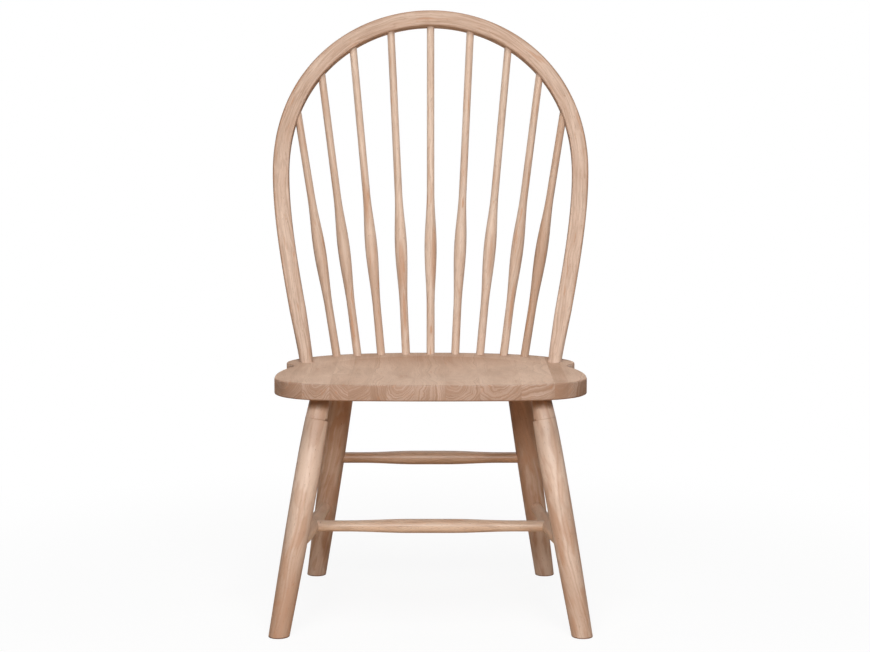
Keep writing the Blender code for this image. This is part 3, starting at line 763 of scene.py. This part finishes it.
# Tones at each leg's foot, above its lower third, and below the seat, and its inner side's painted
# shade; below the seat the tone is painted light on the front legs and painted shade on the rear
# ones, whose paler feet are painted light
FRONT_LEG_TONES = {-1: ((0.42, 0.50), (0.04, -0.20), (-0.38, -0.26), 0.10),
                   1: ((0.06, 0.10), (0.04, -0.06), (-0.50, -0.30), 0.10)}
REAR_LEG_TONES = {-1: ((-0.22, 0.14), (-0.04, 0.18), (0.06, 0.44), 0.80),
                  1: ((-0.54, 0.06), (0.10, 0.20), (1.05, 0.46), 0.60)}


def leg_line(side, top_place, spread):
    """A leg's axis, from the floor to the seat's underside."""
    top = Vector((side * top_place[0], top_place[1], UNDERSIDE))
    return top + Vector((side * spread[0], spread[1], -UNDERSIDE)), top


def point_at_height(line, height):
    foot, top = line
    return foot.lerp(top, (height - foot.z) / (top.z - foot.z))


def leg_profile(length, shoulder_radius):
    """(height, radius, how far the neck's offset applies) up one leg."""
    shoulder = length - NECK_LENGTH
    profile = []
    for ring in range(LEG_RINGS + 1):
        height = -LEG_FOOT_EXTRA + (shoulder - BODY_END + LEG_FOOT_EXTRA) * ring / LEG_RINGS
        swell = math.sin(0.5 * math.pi * ramp(height, 0.0, LEG_FULLEST_SHARE * shoulder))
        wane = ramp(height / shoulder, LEG_FULLEST_SHARE, 1.0 - LEG_FULLEST_SHARE)
        radius = LEG_FOOT_RADIUS + (LEG_BODY_RADIUS - LEG_FOOT_RADIUS) * swell
        radius -= (LEG_BODY_RADIUS - shoulder_radius) * wane ** 2
        profile.append((height, radius, 0))
    profile += [(shoulder - below, shoulder_radius - less, 0) for below, less in SHOULDER_ROUND]
    ledge = max(shoulder_radius - LEDGE_INSET, NECK_FOOT_RADIUS + LEDGE_LEAST)
    profile += [(shoulder, ledge, LEDGE_OFFSET_SHARE),
                (shoulder, NECK_FOOT_RADIUS + NECK_FLARE, 1.0)]
    profile += [(shoulder + above, NECK_FOOT_RADIUS, 1.0) for above in NECK_FOOT_HEIGHTS]
    straight = length - NECK_STRAIGHT
    for step in range(1, NECK_RINGS + 1):
        share = step / NECK_RINGS
        radius = NECK_FOOT_RADIUS + (NECK_TOP_RADIUS - NECK_FOOT_RADIUS) * share
        profile.append((shoulder + (straight - shoulder) * share, radius, 1.0))
    profile.append((length + LEG_TENON, NECK_TOP_RADIUS, 1.0))
    return profile


def leg_tone(line, side, foot, middle, top, shade):
    """A leg's tone up its height, with painted shade on its inner side, in a line and a notch at
    its shoulder and in the seat's nook, and a painted shadow at its sole.
    """
    base, tip = line
    along = (tip - base).normalized()
    shoulder = (tip - base).length - NECK_LENGTH

    def tone(point):
        height = (point - base).dot(along)
        away = point - base - along * height
        inward = ramp(-side * away.x / LEG_BODY_RADIUS, INNER_START, INNER_FADE)
        above = height - shoulder
        shoulder_line_shade = SHOULDER_LINE_SHADE * (abs(above) < SHOULDER_LINE_HALF_WIDTH)
        notch = NOTCH_DEPTH * (NOTCH_FROM < above < NOTCH_TO and inward > NOTCH_INWARD)
        rise = ramp(point.z, FOOT_TONE_END, FOOT_TONE_FADE)
        over = ramp(point.z, MIDDLE_TONE_END, MIDDLE_TONE_FADE)
        nook = NOOK_SHADE * ramp(point.z, UNDERSIDE - NOOK_REACH, NOOK_FADE)
        sole = SOLE_SHADOW * (point.z < SOLE_HEIGHT)
        depth, redness = (low + (mid - low) * rise + (high - mid) * over
                          for low, mid, high in zip(foot, middle, top))
        return (depth + nook + shoulder_line_shade + notch + sole + shade * inward, redness + shoulder_line_shade,
                FAR_FROM_GLUE)

    return tone


def build_leg(name, line, side, shoulder, holes, pith, tone):
    foot, top = line
    place = standing(foot, top)
    shoulder_radius, neck_offset = shoulder
    outward = Vector((side * neck_offset, 0.0, 0.0))
    rings = []
    for height, radius, offset in leg_profile((top - foot).length, shoulder_radius):
        ring = []
        for step in range(LEG_SIDES):
            turn = 2 * math.pi * step / LEG_SIDES
            point = Vector((radius * math.cos(turn), radius * math.sin(turn), height))
            ring.append(place @ point + outward * offset)
        rings.append(ring)
    shape = loft(rings)
    cut_off(shape, (0, 0, 0), (0, 0, -1))
    rim = [edge for edge in shape.edges if all(abs(v.co.z) < ON_FLOOR for v in edge.verts)]
    bmesh.ops.bevel(shape, geom=rim, offset=LEG_FOOT_ROUND, segments=LEG_FOOT_SEGMENTS,
                    profile=0.5, affect='EDGES')
    score(shape, (0.0, 0.0, SOLE_HEIGHT), (0.0, 0.0, 1.0))
    mesh = bored(to_mesh(shape, name), holes)
    finish_piece(name, mesh, "leg_wood", along_axis(foot, top, pith, LEG_RUNOUT),
                 leg_tone(line, side, *tone))


# Stretchers

def build_stretcher(name, start, end, core, middle_radius, reach_share, holes, pith, tone):
    along = (end - start).normalized()
    base, tip = start + along * core, end - along * core
    half = 0.5 * (tip - base).length
    sizes = {"Rings": STRETCHER_RINGS, "Tenon": 0.0, "Taper run": half,
             "Foot radius": STRETCHER_END_RADIUS, "Tip radius": STRETCHER_END_RADIUS,
             "Swelling": middle_radius - STRETCHER_END_RADIUS, "Swelling height": half,
             "Swelling flat": STRETCHER_FLAT_SHARE * half, "Reach below": reach_share * half,
             "Reach above": reach_share * half}
    build_turned(name, "stretcher_wood", base, tip, sizes, holes, pith, tone)


# A cross stretcher deepens from this far off the middle on, and gets painted shade from this share
# of its radius down
ENDS_START, ENDS_FADE = 0.05, 0.10
UNDER_START, UNDER_FADE = 0.30, 0.60
ENDS_REDNESS_SHARE = 0.6
CROSS_STRETCHER_REDNESS = -0.20
SIDE_STRETCHER_TONE = (-0.58, -0.10)


def cross_stretcher_tone(axis_height, depth, ends_depth, underside_shade):
    """A stretcher's tone, deeper toward its two ends, with painted shade along its underside."""
    def tone(point):
        ends = ends_depth * ramp(abs(point.x), ENDS_START, ENDS_FADE)
        under = ramp((axis_height - point.z) / STRETCHER_MIDDLE_RADIUS, UNDER_START, UNDER_FADE)
        return (depth + ends + underside_shade * under,
                ENDS_REDNESS_SHARE * ends + CROSS_STRETCHER_REDNESS, FAR_FROM_GLUE)

    return tone


def stretcher_hole(axis_point, other_end, core):
    """A blind hole for a stretcher's end, bored into a round piece toward its axis."""
    along = (axis_point - other_end).normalized()
    bottom = axis_point - along * core
    return bottom - along * (2 * LEG_BODY_RADIUS), bottom, STRETCHER_END_RADIUS


def build_base():
    """Legs and stretchers, each bored where another stands in it."""
    front, rear, ends, ties, crossing = {}, {}, {}, {}, {}
    for side in (-1, 1):
        front[side] = leg_line(side, FRONT_LEG_TOP, FRONT_LEG_SPREAD)
        rear[side] = leg_line(side, REAR_LEG_TOP, REAR_LEG_SPREAD)
        ends[side] = [point_at_height(line, SIDE_STRETCHER_HEIGHT)
                      for line in (front[side], rear[side])]
        ties[side] = point_at_height(rear[side], REAR_STRETCHER_HEIGHT)
        crossing[side] = ends[side][0].lerp(ends[side][1], MIDDLE_STRETCHER_SHARE)
    for side, word in ((-1, "left"), (1, "right")):
        front_end, rear_end = ends[side]
        build_leg(f"leg_front_{word}", front[side], side, FRONT_SHOULDER,
                  [stretcher_hole(front_end, rear_end, LEG_CORE)],
                  (0.031 * side, -0.052, 3.0), FRONT_LEG_TONES[side])
        build_leg(f"leg_rear_{word}", rear[side], side, REAR_SHOULDER,
                  [stretcher_hole(rear_end, front_end, LEG_CORE),
                   stretcher_hole(ties[side], ties[-side], LEG_CORE)],
                  (0.047 * side, 0.036, 7.0), REAR_LEG_TONES[side])
        build_stretcher(f"stretcher_{word}", front_end, rear_end, LEG_CORE,
                        SIDE_STRETCHER_RADIUS, SIDE_STRETCHER_REACH_SHARE,
                        [stretcher_hole(crossing[side], crossing[-side], STRETCHER_CORE)],
                        (0.024, 0.041 * side, 11.0), plain_tone(*SIDE_STRETCHER_TONE))
    for name, points, core, pith, depths in (
            ("middle", crossing, STRETCHER_CORE, (0.052, 0.018, 15.0), (-0.18, 0.0, 0.60)),
            ("rear", ties, LEG_CORE, (0.040, -0.030, 17.0), (0.56, 0.30, 0.60))):
        left, right = points[-1], points[1]
        build_stretcher(f"stretcher_{name}", left, right, core, STRETCHER_MIDDLE_RADIUS,
                        STRETCHER_REACH_SHARE, [], pith, cross_stretcher_tone(left.z, *depths))


# Bow

BOW_PLANE = (Matrix.Translation((0.0, BOW_FOOT_BACK, SEAT_HEIGHT))
             @ Matrix.Rotation(-BOW_LEAN, 4, 'X'))


def bezier(points, share):
    rest = 1.0 - share
    weights = (rest ** 3, 3 * rest ** 2 * share, 3 * rest * share ** 2, share ** 3)
    return sum((point * weight for point, weight in zip(points, weights)), Vector((0, 0, 0)))


def bow_half_line():
    """Centre line of the right half, in the bow's plane, from its foot to its top."""
    foot = Vector((BOW_FOOT_SPREAD, 0.0, 0.0))
    direction = Vector((math.sin(BOW_FOOT_SPLAY), 0.0, math.cos(BOW_FOOT_SPLAY)))
    widest = Vector((HALF_BOW, 0.0, BOW_WIDEST_AT))
    top = Vector((0.0, 0.0, BOW_RISE))
    lower = (foot, foot + direction * BOW_FOOT_PULL,
             widest - Vector((0, 0, BOW_WIDEST_DOWN_PULL)), widest)
    upper = (widest, widest + Vector((0, 0, BOW_WIDEST_UP_PULL)),
             top + Vector((BOW_TOP_PULL, 0, 0)), top)
    line = [foot - direction * BOW_TENON, foot - direction * 0.5 * BOW_TENON, foot]
    for half in (lower, upper):
        line += [bezier(half, step / BOW_STEPS) for step in range(1, BOW_STEPS + 1)]
    return line


def bow_section(height):
    """Corner-rounded section at a height up the bow's plane, which is round near the foot."""
    share = ramp(height, BOW_ROUND_PART, BOW_TAPER_PART)
    half_width = BOW_FOOT_RADIUS + (0.5 * BOW_FACE_WIDTH - BOW_FOOT_RADIUS) * share
    half_depth = BOW_FOOT_RADIUS + (0.5 * BOW_FACE_DEPTH - BOW_FOOT_RADIUS) * share
    corner = BOW_FOOT_RADIUS + (BOW_CORNER - BOW_FOOT_RADIUS) * share
    steps = BOW_CORNER_STEPS + 2 * BOW_CORNER_GAP
    points = []
    for quarter in range(4):
        for step in range(BOW_CORNER_STEPS + 1):
            angle = 0.5 * math.pi * (quarter + (step + BOW_CORNER_GAP) / steps)
            middle_angle = 0.5 * math.pi * (quarter + 0.5)
            side = math.copysign(1.0, math.cos(middle_angle))
            front = math.copysign(1.0, math.sin(middle_angle))
            points.append((side * (half_width - corner) + corner * math.cos(angle),
                           front * (half_depth - corner) + corner * math.sin(angle)))
    return points


def bow_line():
    right = bow_half_line()
    return right + [Vector((-point.x, 0.0, point.z)) for point in reversed(right[:-1])]


def bow_frame(line, index):
    """The bow's direction at a point of its line, and the way outward from there."""
    along = (line[min(index + 1, len(line) - 1)] - line[max(index - 1, 0)]).normalized()
    return along, Vector((along.z, 0.0, -along.x))


def bow_places():
    """A function from a point to its place in the bent bar: outward, back and along its line."""
    line = bow_line()
    tree = kdtree.KDTree(len(line))
    lengths = [0.0]
    for index, point in enumerate(line):
        tree.insert(point, index)
        if index:
            lengths.append(lengths[-1] + (point - line[index - 1]).length)
    tree.balance()
    flat = BOW_PLANE.inverted()

    def place(point):
        local = flat @ point
        depth = local.y
        local.y = 0.0
        _, index, _ = tree.find(local)
        along, outward = bow_frame(line, index)
        away = local - line[index]
        return (away.dot(outward), depth, lengths[index] + away.dot(along))

    return place


def bow_point_at(spread):
    """The point on the bow's upper centre line at this distance from its middle."""
    line = bow_half_line()[-BOW_STEPS - 1:]
    outer, inner = next(pair for pair in zip(line, line[1:]) if pair[1].x <= spread <= pair[0].x)
    return BOW_PLANE @ outer.lerp(inner, (outer.x - spread) / (outer.x - inner.x))


BOW_PITH = Vector((0.060, 0.024, 0.0))
BOW_DEPTH, BOW_LEFT_DEPTH = -0.04, 0.07
# The bar deepens between these heights
RISE_START, RISE_FADE, RISE_DEPTH, RISE_REDNESS = 0.65, 0.40, 0.18, 0.02
# Its right foot is palest below this height
PALE_FOOT_TOP, PALE_FOOT_FADE, FOOT_PALENESS = 0.60, 0.15, 0.24
# Its outer arris is darker in front, from this share of the bar's depth forward
OUTER_ARRIS_SHARE, OUTER_ARRIS_WIDTH = 0.3, 0.0030
OUTER_ARRIS_DEPTH, OUTER_ARRIS_REDNESS = 0.30, 0.24
# Painted shade on the bar's inner face near its top, where that face turns down: its width and
# depth
INSIDE_WIDTH, BOW_INSIDE_SHADE = 0.0010, 0.13


def bow_tone(point, place):
    """The bar deepens toward its top and on its outer arris, is palest at its right foot, and has
    painted shade on its inner face near the top.
    """
    rise = ramp(point.z, RISE_START, RISE_FADE)
    pale = FOOT_PALENESS * ramp(PALE_FOOT_TOP - point.z, 0.0, PALE_FOOT_FADE) * (point.x > 0)
    outward, back, _ = place(point)
    half = 0.5 * BOW_FACE_WIDTH
    rim = outward > half - OUTER_ARRIS_WIDTH and back < -OUTER_ARRIS_SHARE * BOW_FACE_DEPTH
    inside = BOW_INSIDE_SHADE * rise * (outward < INSIDE_WIDTH - half)
    left = BOW_LEFT_DEPTH * (point.x < 0)
    return (BOW_DEPTH + RISE_DEPTH * rise - pale + OUTER_ARRIS_DEPTH * rim + inside + left,
            RISE_REDNESS * rise + OUTER_ARRIS_REDNESS * rim, FAR_FROM_GLUE)


def build_bow():
    """The bent bar, bored for the nine spindle tips."""
    line = bow_line()
    rings = []
    for index, centre in enumerate(line):
        _, outward = bow_frame(line, index)
        rings.append([BOW_PLANE @ (centre + outward * across + Vector((0, depth, 0)))
                      for across, depth in bow_section(centre.z)])
    holes = []
    for _, meeting, along in spindle_lines():
        holes.append((meeting - along * 2 * BOW_FACE_WIDTH, meeting - along * SPINDLE_TIP_BACK,
                      SPINDLE_TOP_RADIUS))
    mesh = bored(to_mesh(loft(rings), "bow"), holes)
    place = bow_places()
    finish_piece("bow", mesh, "bow_wood", lambda point: Vector(place(point)) + BOW_PITH,
                 lambda point: bow_tone(point, place))


# Spindles

def spindle_lines():
    """Each spindle's foot, its meeting point with the bow, and its direction, left to right."""
    lines = []
    last = len(SPINDLE_FOOT_SHARES) - 1
    for step in range(-last, last + 1):
        side = -1 if step < 0 else 1
        across, forward = SPINDLE_FOOT_SHARES[abs(step)]
        foot = Vector((side * across * HALF_SEAT, SPINDLE_ROW_BACK - forward * SEAT_DEPTH,
                       SEAT_HEIGHT))
        meeting = bow_point_at(SPINDLE_TIP_SHARES[abs(step)] * HALF_BOW)
        meeting.x *= side
        lines.append((foot, meeting, (meeting - foot).normalized()))
    return lines


SPINDLE_PITHS = ((0.041, -0.022), (-0.036, 0.047), (0.055, 0.020), (0.018, -0.049),
                 (-0.044, -0.031), (0.029, 0.052), (-0.058, 0.014), (0.038, 0.037),
                 (-0.021, -0.055))
# Flame-coloured patches, by the spindle's number from the left: height above the seat, place
# across, half length, half width, strength
SPINDLE_FLAMES = {4: ((0.170, 0.000, 0.055, 0.0060, 0.7), (0.085, 0.001, 0.045, 0.0026, 1.0)),
                  5: ((0.185, 0.006, 0.065, 0.0055, 0.6), (0.047, 0.001, 0.010, 0.0018, 1.1)),
                  6: ((0.288, 0.001, 0.012, 0.0016, 1.2),),
                  2: ((0.060, -0.002, 0.040, 0.0024, 0.9),),
                  3: ((0.300, -0.002, 0.060, 0.0035, 0.6), (0.110, 0.0, 0.130, 0.0120, 0.30)),
                  7: ((0.190, 0.002, 0.050, 0.0040, 0.5),),
                  8: ((0.100, 0.002, 0.050, 0.0030, 0.8),)}
FLAME_DEPTH = 0.12
# A flame narrows upward, and shows only on the spindle's front, up to this far behind its axis
FLAME_WIDTH, FLAME_TAPER, FLAME_BACK = 1.2, 0.5, 0.002
SPINDLE_TONES = ((0.28, 0.04), (0.26, 0.08), (0.12, 0.06), (0.04, 0.02), (-0.05, 0.0),
                 (0.12, 0.02), (0.12, 0.0), (0.18, 0.0), (0.42, 0.16))


def spindle_tone(index, foot, along):
    """A spindle's tone, with its flames on the front."""
    depth, redness = SPINDLE_TONES[index]

    def tone(point):
        away = point - foot
        height = away.dot(along)
        across = away - along * height
        blaze = 0.0
        for level, place, half_length, half_width, strength in SPINDLE_FLAMES.get(index + 1, ()):
            rise = (height - level) / half_length
            side = (across.x - place) / (half_width * (FLAME_WIDTH - FLAME_TAPER * rise))
            reach = rise * rise + side * side
            if across.y < FLAME_BACK and reach < 1.0:
                blaze = max(blaze, strength * (1.0 - reach ** 2))
        return (depth + FLAME_DEPTH * blaze, redness + blaze, FAR_FROM_GLUE)

    return tone


def build_spindles():
    sizes = {"Rings": SPINDLE_RINGS, "Tenon": SPINDLE_TENON, "Foot radius": SPINDLE_FOOT_RADIUS,
             "Tip radius": SPINDLE_TOP_RADIUS, "Taper run": 2 * SPINDLE_BULGE_HEIGHT,
             "Swelling": SPINDLE_BULGE, "Swelling height": SPINDLE_BULGE_HEIGHT,
             "Swelling flat": 0.0, "Reach below": SPINDLE_BULGE_BELOW,
             "Reach above": SPINDLE_BULGE_ABOVE}
    for index, (foot, meeting, along) in enumerate(spindle_lines()):
        build_turned(f"spindle_{index + 1}", "spindle_wood", foot - along * SPINDLE_TENON,
                     meeting - along * SPINDLE_TIP_BACK, sizes, [],
                     (*SPINDLE_PITHS[index], 20.0 + index), spindle_tone(index, foot, along))


build_seat()
build_base()
build_bow()
build_spindles()


# Floor, light and camera

FLOOR_REACH = 30.0
# The floor is warm where it throws light on the chair, and white where the camera sees it
FLOOR_GLOW = (0.56, 0.41, 0.29, 1)
FLOOR_WHITE = (0.95, 0.95, 0.95, 1)
WHITE = (1, 1, 1, 1)
# How much of the floor is plain white to the camera near the chair; all of it is, further off
NEAR_WHITE, FAR_START, FAR_END = 0.90, 0.5, 1.5
FILL_LIGHT = 0.035
# Each soft lamp's name, place, the height it is aimed at, its width, height and power
LAMPS = (("front", (0.0, -2.4, 1.15), 0.55, 1.8, 0.5, 39.0),
         ("above", (0.0, -1.5, 3.1), 0.5, 1.6, 1.2, 48.0),
         ("above_behind", (0.0, 1.6, 2.4), 0.5, 1.6, 1.2, 14.0),
         ("behind_left", (-2.4, 2.0, 1.3), 0.5, 1.2, 1.2, 12.0),
         ("behind_right", (2.4, 2.0, 1.3), 0.5, 1.2, 1.2, 12.0))
CAMERA_PLACE = (0.0, -3.8563, 0.9683)
CAMERA_PITCH = math.radians(6.666)
SENSOR_WIDTH, FOCAL_LENGTH, LENS_SHIFT = 36.0, 88.08, 0.00506


def pale_floor():
    """Pale floor that reads as white to the camera, yet keeps the chair's soft shadow."""
    shape = bmesh.new()
    bmesh.ops.create_grid(shape, x_segments=1, y_segments=1, size=FLOOR_REACH)
    floor = on_table("floor", to_mesh(shape, "floor"))
    material = bpy.data.materials.new("pale_floor")
    material.use_nodes = True
    g = Graph(material.node_tree)
    to_camera = g.node("ShaderNodeLightPath", output="Is Camera Ray")
    place = g.node("ShaderNodeTexCoord", output="Object")
    away = g.vector('LENGTH', place, output="Value")
    far = g.step(away, FAR_START, FAR_END)
    colour = g.blend(to_camera, FLOOR_GLOW, FLOOR_WHITE)
    lit = g.node("ShaderNodeBsdfDiffuse", values={"Color": colour})
    white = g.node("ShaderNodeEmission", values={"Color": WHITE, "Strength": 1.0})
    share = to_camera * (NEAR_WHITE + far * (1.0 - NEAR_WHITE))
    shader = g.node("ShaderNodeMixShader", values={0: share, 1: lit, 2: white})
    g.node("ShaderNodeOutputMaterial", values={"Surface": shader})
    floor.data.materials.append(material)


def studio_world():
    """Low even light all round, with a white background for the camera."""
    world = bpy.data.worlds.new("studio")
    bpy.context.scene.world = world
    world.use_nodes = True
    g = Graph(world.node_tree)
    fill = g.node("ShaderNodeBackground", values={"Color": WHITE, "Strength": FILL_LIGHT})
    white = g.node("ShaderNodeBackground", values={"Color": WHITE, "Strength": 1.0})
    to_camera = g.node("ShaderNodeLightPath", output="Is Camera Ray")
    sky = g.node("ShaderNodeMixShader", values={0: to_camera, 1: fill, 2: white})
    g.node("ShaderNodeOutputWorld", values={"Surface": sky})


def soft_lamp(name, place, aim_height, width, height, power):
    lamp = bpy.data.lights.new(name, 'AREA')
    lamp.shape = 'RECTANGLE'
    lamp.size = width
    lamp.size_y = height
    lamp.energy = power
    item = on_table(name, lamp)
    item.location = place
    item.rotation_mode = 'QUATERNION'
    aim = Vector((0.0, 0.0, aim_height)) - Vector(place)
    item.rotation_quaternion = aim.to_track_quat('-Z', 'Y')
    item.visible_camera = False


def photo_camera():
    """Camera 3.9 m in front of the chair, a metre up and pitched slightly down."""
    lens = bpy.data.cameras.new("camera")
    lens.sensor_width = SENSOR_WIDTH
    lens.lens = FOCAL_LENGTH
    lens.shift_x = LENS_SHIFT
    camera = on_table("camera", lens)
    camera.location = CAMERA_PLACE
    camera.rotation_euler = (0.5 * math.pi - CAMERA_PITCH, 0.0, 0.0)
    bpy.context.scene.camera = camera


pale_floor()
studio_world()
for lamp in LAMPS:
    soft_lamp(*lamp)
photo_camera()
bpy.context.scene.view_settings.view_transform = 'Standard'
